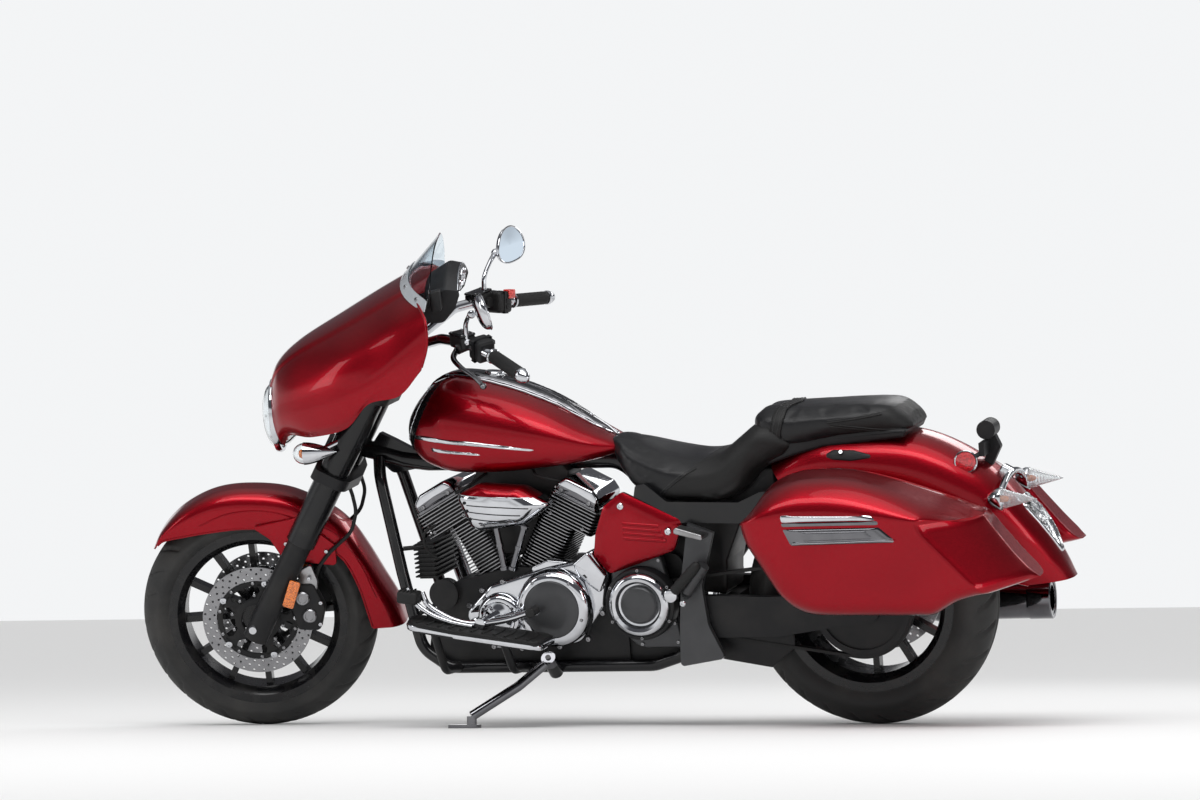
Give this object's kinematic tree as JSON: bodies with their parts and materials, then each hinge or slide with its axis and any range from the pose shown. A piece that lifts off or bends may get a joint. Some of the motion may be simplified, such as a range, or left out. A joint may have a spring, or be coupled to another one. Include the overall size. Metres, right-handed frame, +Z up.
{
  "type": "touring cruiser motorcycle",
  "caption": "Touring cruiser motorcycle with a handlebar fairing, short windshield, V-twin engine and hard saddlebags, parked leaning on its side stand.",
  "frame": {"origin": "on the ground, under the centre of the whole part's bounding box", "axes": "+X points to the rear of the motorcycle, +Y to the rider's right, +Z up; the machine leans to -Y"},
  "size_m": [2.5606, 0.9144, 1.3346],
  "materials": {
    "red_paint": "candy red, clear-coated",
    "frame_black": "gloss black",
    "satin_black": "satin black",
    "bright": "polished",
    "engine_metal": "satin",
    "engine_black": "black, bright fin edges",
    "disc_steel": "brushed",
    "tyre_rubber": "matte",
    "soft_rubber": "matte",
    "seat_leather": "grained black",
    "black_plastic": "matte",
    "clear_screen": "clear",
    "lamp_lens": "clear, faceted inside"
  },
  "bodies": {
    "chassis": {"frame_spine": "frame_black", "frame_cradles": "frame_black", "pivot_plates": "satin_black", "swingarm": "satin_black", "rear_axle": "disc_steel", "drive_belt": "soft_rubber", "engine_case": "engine_metal", "engine_cylinders": "engine_black", "rocker_covers": "bright", "engine_v_covers": "bright", "engine_side_covers": "bright", "oil_cooler": "engine_black", "horn": "satin_black", "exhaust_pipes": "bright", "muffler": "bright", "fuel_tank": "red_paint", "tank_console": "bright", "rider_seat": "seat_leather", "passenger_seat": "seat_leather", "rear_fender": "red_paint", "tail_lamp": "lamp_lens", "rear_indicators": "bright", "plate_bracket": "satin_black", "side_panels": "red_paint", "bag_case_left": "red_paint", "bag_case_right": "red_paint", "footboards": "bright", "foot_controls": "bright"},
    "lid_left": {"bag_lid_left": "red_paint"},
    "lid_right": {"bag_lid_right": "red_paint"},
    "side_stand": {"stand_leg": "satin_black"},
    "steering": {"triple_clamps": "satin_black", "fork_sliders": "satin_black", "fork_shrouds": "satin_black", "front_axle": "disc_steel", "front_calipers": "satin_black", "brake_hoses": "soft_rubber", "front_fender": "red_paint", "fairing": "red_paint", "windshield": "clear_screen", "instrument_hood": "black_plastic", "headlight": "lamp_lens", "front_indicators": "bright", "handlebar": "bright", "grips": "soft_rubber", "bar_controls": "satin_black", "mirrors": "bright"},
    "front_wheel": {"front_tyre": "tyre_rubber", "front_cast_wheel": "satin_black", "front_discs": "disc_steel"},
    "rear_wheel": {"rear_tyre": "tyre_rubber", "rear_cast_wheel": "satin_black", "rear_disc": "disc_steel", "rear_pulley": "satin_black"}
  },
  "joints": [
    {"name": "steering_turn", "type": "hinge", "parent": "chassis", "child": "steering", "pos_m": [-0.68154, -0.02878, 0.69222], "axis": [0.516, -0.163, 0.8409], "range_deg": [-52, 20]},
    {"name": "front_wheel_spin", "type": "hinge", "parent": "steering", "child": "front_wheel", "pos_m": [-0.95794, 0.03578, 0.30638], "axis": [-0.2369, 0.9163, 0.323], "continuous": true},
    {"name": "rear_wheel_spin", "type": "hinge", "parent": "chassis", "child": "rear_wheel", "pos_m": [0.75579, 0.04358, 0.32595], "axis": [-0.0008, 0.9816, 0.1908], "continuous": true},
    {"name": "stand_fold", "type": "hinge", "parent": "chassis", "child": "side_stand", "pos_m": [-0.07458, -0.1208, 0.17238], "axis": [0.028, -0.8765, 0.4806], "range_deg": [0, 112]},
    {"name": "left_lid_hinge", "type": "hinge", "parent": "chassis", "child": "lid_left", "pos_m": [0.89002, -0.43669, 0.51228], "axis": [1, 0, 0.0042], "range_deg": [0, 80]},
    {"name": "right_lid_hinge", "type": "hinge", "parent": "chassis", "child": "lid_right", "pos_m": [0.88933, 0.41928, 0.67867], "axis": [-1, 0, -0.0042], "range_deg": [0, 80]}
  ]
}
